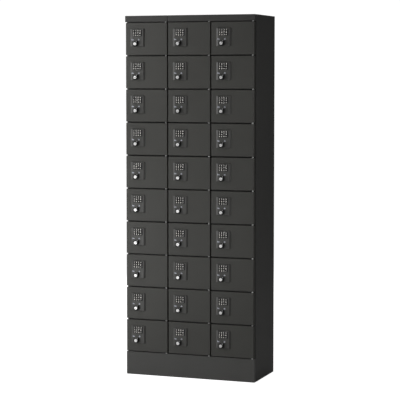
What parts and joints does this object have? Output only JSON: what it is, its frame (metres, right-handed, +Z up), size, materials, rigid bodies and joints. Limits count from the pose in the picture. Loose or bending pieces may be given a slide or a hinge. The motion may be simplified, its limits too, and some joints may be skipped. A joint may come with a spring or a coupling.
{
  "type": "parcel locker",
  "caption": "Tall steel compartment locker with rows of small hinged doors, each with a keypad lock and a turning knob, on a closed plinth.",
  "frame": {"origin": "centre of the bounding box on the floor", "axes": "+X to the right along the width seen from the front, +Y to the back, +Z up; the doors face -Y"},
  "size_m": [0.68, 0.336, 1.8],
  "materials": {
    "cabinet_steel": "charcoal powder coat, fine texture",
    "door_steel": "charcoal powder coat, fine texture",
    "lock_plastic": "satin black moulded",
    "knob_plastic": "satin black moulded",
    "key_rubber": "matt dark key tops",
    "key_plug_metal": "satin nickel",
    "zinc_steel": "zinc plated",
    "nylon": "natural nylon"
  },
  "bodies": {
    "cabinet": {"side_panel_left": "cabinet_steel", "side_panel_right": "cabinet_steel", "back_panel": "cabinet_steel", "top_panel": "cabinet_steel", "floor_panel": "cabinet_steel", "plinth": "cabinet_steel", "base_frame": "cabinet_steel", "header_left": "cabinet_steel", "header_right": "cabinet_steel", "front_frame": "cabinet_steel", "dividers": "cabinet_steel", "shelves": "cabinet_steel", "hinge_pins": "zinc_steel", "hinge_washers": "nylon"},
    "door_c1_r01_body": {"door_c1_r01": "door_steel", "lock_case": "lock_plastic"},
    "door_c1_r02_body": {"door_c1_r02": "door_steel"},
    "door_c1_r03_body": {"door_c1_r03": "door_steel"},
    "door_c1_r04_body": {"door_c1_r04": "door_steel"},
    "door_c1_r05_body": {"door_c1_r05": "door_steel"},
    "door_c1_r06_body": {"door_c1_r06": "door_steel"},
    "door_c1_r07_body": {"door_c1_r07": "door_steel"},
    "door_c1_r08_body": {"door_c1_r08": "door_steel"},
    "door_c1_r09_body": {"door_c1_r09": "door_steel"},
    "door_c1_r10_body": {"door_c1_r10": "door_steel"},
    "door_c2_r01_body": {"door_c2_r01": "door_steel"},
    "door_c2_r02_body": {"door_c2_r02": "door_steel"},
    "door_c2_r03_body": {"door_c2_r03": "door_steel"},
    "door_c2_r04_body": {"door_c2_r04": "door_steel"},
    "door_c2_r05_body": {"door_c2_r05": "door_steel"},
    "door_c2_r06_body": {"door_c2_r06": "door_steel"},
    "door_c2_r07_body": {"door_c2_r07": "door_steel"},
    "door_c2_r08_body": {"door_c2_r08": "door_steel"},
    "door_c2_r09_body": {"door_c2_r09": "door_steel"},
    "door_c2_r10_body": {"door_c2_r10": "door_steel"},
    "door_c3_r01_body": {"door_c3_r01": "door_steel"},
    "door_c3_r02_body": {"door_c3_r02": "door_steel"},
    "door_c3_r03_body": {"door_c3_r03": "door_steel"},
    "door_c3_r04_body": {"door_c3_r04": "door_steel"},
    "door_c3_r05_body": {"door_c3_r05": "door_steel"},
    "door_c3_r06_body": {"door_c3_r06": "door_steel"},
    "door_c3_r07_body": {"door_c3_r07": "door_steel"},
    "door_c3_r08_body": {"door_c3_r08": "door_steel"},
    "door_c3_r09_body": {"door_c3_r09": "door_steel"},
    "door_c3_r10_body": {"door_c3_r10": "door_steel"},
    "knob": {"lock_knob": "knob_plastic", "lock_cam": "zinc_steel"},
    "plug": {"lock_plug": "key_plug_metal"},
    "key_1_body": {"key_1": "key_rubber"},
    "key_2_body": {"key_2": "key_rubber"},
    "key_3_body": {"key_3": "key_rubber"},
    "key_4_body": {"key_4": "key_rubber"},
    "key_5_body": {"key_5": "key_rubber"},
    "key_6_body": {"key_6": "key_rubber"},
    "key_7_body": {"key_7": "key_rubber"},
    "key_8_body": {"key_8": "key_rubber"},
    "key_9_body": {"key_9": "key_rubber"},
    "key_0_body": {"key_0": "key_rubber"},
    "key_clear_body": {"key_clear": "key_rubber"},
    "key_enter_body": {"key_enter": "key_rubber"}
  },
  "joints": [
    {"name": "knob_turn", "type": "hinge", "parent": "door_c1_r01_body", "child": "knob", "pos_m": [-0.2805, -0.161, 1.661], "axis": [0, -1, 0], "range_deg": [0, 78.8]},
    {"name": "plug_turn", "type": "hinge", "parent": "knob", "child": "plug", "pos_m": [-0.2805, -0.168, 1.661], "axis": [0, -1, 0], "range_deg": [0, 90]},
    {"name": "key_1_press", "type": "slide", "parent": "door_c1_r01_body", "child": "key_1_body", "axis": [0, 1, 0], "range_m": [0, 0.0008], "stiffness_N_per_m": 400},
    {"name": "key_2_press", "type": "slide", "parent": "door_c1_r01_body", "child": "key_2_body", "axis": [0, 1, 0], "range_m": [0, 0.0008], "stiffness_N_per_m": 400},
    {"name": "key_3_press", "type": "slide", "parent": "door_c1_r01_body", "child": "key_3_body", "axis": [0, 1, 0], "range_m": [0, 0.0008], "stiffness_N_per_m": 400},
    {"name": "key_4_press", "type": "slide", "parent": "door_c1_r01_body", "child": "key_4_body", "axis": [0, 1, 0], "range_m": [0, 0.0008], "stiffness_N_per_m": 400},
    {"name": "key_5_press", "type": "slide", "parent": "door_c1_r01_body", "child": "key_5_body", "axis": [0, 1, 0], "range_m": [0, 0.0008], "stiffness_N_per_m": 400},
    {"name": "key_6_press", "type": "slide", "parent": "door_c1_r01_body", "child": "key_6_body", "axis": [0, 1, 0], "range_m": [0, 0.0008], "stiffness_N_per_m": 400},
    {"name": "key_7_press", "type": "slide", "parent": "door_c1_r01_body", "child": "key_7_body", "axis": [0, 1, 0], "range_m": [0, 0.0008], "stiffness_N_per_m": 400},
    {"name": "key_8_press", "type": "slide", "parent": "door_c1_r01_body", "child": "key_8_body", "axis": [0, 1, 0], "range_m": [0, 0.0008], "stiffness_N_per_m": 400},
    {"name": "key_9_press", "type": "slide", "parent": "door_c1_r01_body", "child": "key_9_body", "axis": [0, 1, 0], "range_m": [0, 0.0008], "stiffness_N_per_m": 400},
    {"name": "key_0_press", "type": "slide", "parent": "door_c1_r01_body", "child": "key_0_body", "axis": [0, 1, 0], "range_m": [0, 0.0008], "stiffness_N_per_m": 400},
    {"name": "key_clear_press", "type": "slide", "parent": "door_c1_r01_body", "child": "key_clear_body", "axis": [0, 1, 0], "range_m": [0, 0.0008], "stiffness_N_per_m": 400},
    {"name": "key_enter_press", "type": "slide", "parent": "door_c1_r01_body", "child": "key_enter_body", "axis": [0, 1, 0], "range_m": [0, 0.0008], "stiffness_N_per_m": 400},
    {"name": "door_c1_r01_hinge", "type": "hinge", "parent": "cabinet", "child": "door_c1_r01_body", "pos_m": [-0.125, -0.14, 1.6855], "axis": [0, 0, 1], "range_deg": [0, 110]},
    {"name": "door_c1_r02_hinge", "type": "hinge", "parent": "cabinet", "child": "door_c1_r02_body", "pos_m": [-0.125, -0.14, 1.5205], "axis": [0, 0, 1], "range_deg": [0, 110]},
    {"name": "door_c1_r03_hinge", "type": "hinge", "parent": "cabinet", "child": "door_c1_r03_body", "pos_m": [-0.125, -0.14, 1.3555], "axis": [0, 0, 1], "range_deg": [0, 110]},
    {"name": "door_c1_r04_hinge", "type": "hinge", "parent": "cabinet", "child": "door_c1_r04_body", "pos_m": [-0.125, -0.14, 1.1905], "axis": [0, 0, 1], "range_deg": [0, 110]},
    {"name": "door_c1_r05_hinge", "type": "hinge", "parent": "cabinet", "child": "door_c1_r05_body", "pos_m": [-0.125, -0.14, 1.0255], "axis": [0, 0, 1], "range_deg": [0, 110]},
    {"name": "door_c1_r06_hinge", "type": "hinge", "parent": "cabinet", "child": "door_c1_r06_body", "pos_m": [-0.125, -0.14, 0.8605], "axis": [0, 0, 1], "range_deg": [0, 110]},
    {"name": "door_c1_r07_hinge", "type": "hinge", "parent": "cabinet", "child": "door_c1_r07_body", "pos_m": [-0.125, -0.14, 0.6955], "axis": [0, 0, 1], "range_deg": [0, 110]},
    {"name": "door_c1_r08_hinge", "type": "hinge", "parent": "cabinet", "child": "door_c1_r08_body", "pos_m": [-0.125, -0.14, 0.5305], "axis": [0, 0, 1], "range_deg": [0, 110]},
    {"name": "door_c1_r09_hinge", "type": "hinge", "parent": "cabinet", "child": "door_c1_r09_body", "pos_m": [-0.125, -0.14, 0.3655], "axis": [0, 0, 1], "range_deg": [0, 110]},
    {"name": "door_c1_r10_hinge", "type": "hinge", "parent": "cabinet", "child": "door_c1_r10_body", "pos_m": [-0.125, -0.14, 0.2005], "axis": [0, 0, 1], "range_deg": [0, 110]},
    {"name": "door_c2_r01_hinge", "type": "hinge", "parent": "cabinet", "child": "door_c2_r01_body", "pos_m": [0.101, -0.14, 1.6855], "axis": [0, 0, 1], "range_deg": [0, 110]},
    {"name": "door_c2_r02_hinge", "type": "hinge", "parent": "cabinet", "child": "door_c2_r02_body", "pos_m": [0.101, -0.14, 1.5205], "axis": [0, 0, 1], "range_deg": [0, 110]},
    {"name": "door_c2_r03_hinge", "type": "hinge", "parent": "cabinet", "child": "door_c2_r03_body", "pos_m": [0.101, -0.14, 1.3555], "axis": [0, 0, 1], "range_deg": [0, 110]},
    {"name": "door_c2_r04_hinge", "type": "hinge", "parent": "cabinet", "child": "door_c2_r04_body", "pos_m": [0.101, -0.14, 1.1905], "axis": [0, 0, 1], "range_deg": [0, 110]},
    {"name": "door_c2_r05_hinge", "type": "hinge", "parent": "cabinet", "child": "door_c2_r05_body", "pos_m": [0.101, -0.14, 1.0255], "axis": [0, 0, 1], "range_deg": [0, 110]},
    {"name": "door_c2_r06_hinge", "type": "hinge", "parent": "cabinet", "child": "door_c2_r06_body", "pos_m": [0.101, -0.14, 0.8605], "axis": [0, 0, 1], "range_deg": [0, 110]},
    {"name": "door_c2_r07_hinge", "type": "hinge", "parent": "cabinet", "child": "door_c2_r07_body", "pos_m": [0.101, -0.14, 0.6955], "axis": [0, 0, 1], "range_deg": [0, 110]},
    {"name": "door_c2_r08_hinge", "type": "hinge", "parent": "cabinet", "child": "door_c2_r08_body", "pos_m": [0.101, -0.14, 0.5305], "axis": [0, 0, 1], "range_deg": [0, 110]},
    {"name": "door_c2_r09_hinge", "type": "hinge", "parent": "cabinet", "child": "door_c2_r09_body", "pos_m": [0.101, -0.14, 0.3655], "axis": [0, 0, 1], "range_deg": [0, 110]},
    {"name": "door_c2_r10_hinge", "type": "hinge", "parent": "cabinet", "child": "door_c2_r10_body", "pos_m": [0.101, -0.14, 0.2005], "axis": [0, 0, 1], "range_deg": [0, 110]},
    {"name": "door_c3_r01_hinge", "type": "hinge", "parent": "cabinet", "child": "door_c3_r01_body", "pos_m": [0.327, -0.14, 1.6855], "axis": [0, 0, 1], "range_deg": [0, 110]},
    {"name": "door_c3_r02_hinge", "type": "hinge", "parent": "cabinet", "child": "door_c3_r02_body", "pos_m": [0.327, -0.14, 1.5205], "axis": [0, 0, 1], "range_deg": [0, 110]},
    {"name": "door_c3_r03_hinge", "type": "hinge", "parent": "cabinet", "child": "door_c3_r03_body", "pos_m": [0.327, -0.14, 1.3555], "axis": [0, 0, 1], "range_deg": [0, 110]},
    {"name": "door_c3_r04_hinge", "type": "hinge", "parent": "cabinet", "child": "door_c3_r04_body", "pos_m": [0.327, -0.14, 1.1905], "axis": [0, 0, 1], "range_deg": [0, 110]},
    {"name": "door_c3_r05_hinge", "type": "hinge", "parent": "cabinet", "child": "door_c3_r05_body", "pos_m": [0.327, -0.14, 1.0255], "axis": [0, 0, 1], "range_deg": [0, 110]},
    {"name": "door_c3_r06_hinge", "type": "hinge", "parent": "cabinet", "child": "door_c3_r06_body", "pos_m": [0.327, -0.14, 0.8605], "axis": [0, 0, 1], "range_deg": [0, 110]},
    {"name": "door_c3_r07_hinge", "type": "hinge", "parent": "cabinet", "child": "door_c3_r07_body", "pos_m": [0.327, -0.14, 0.6955], "axis": [0, 0, 1], "range_deg": [0, 110]},
    {"name": "door_c3_r08_hinge", "type": "hinge", "parent": "cabinet", "child": "door_c3_r08_body", "pos_m": [0.327, -0.14, 0.5305], "axis": [0, 0, 1], "range_deg": [0, 110]},
    {"name": "door_c3_r09_hinge", "type": "hinge", "parent": "cabinet", "child": "door_c3_r09_body", "pos_m": [0.327, -0.14, 0.3655], "axis": [0, 0, 1], "range_deg": [0, 110]},
    {"name": "door_c3_r10_hinge", "type": "hinge", "parent": "cabinet", "child": "door_c3_r10_body", "pos_m": [0.327, -0.14, 0.2005], "axis": [0, 0, 1], "range_deg": [0, 110]}
  ]
}
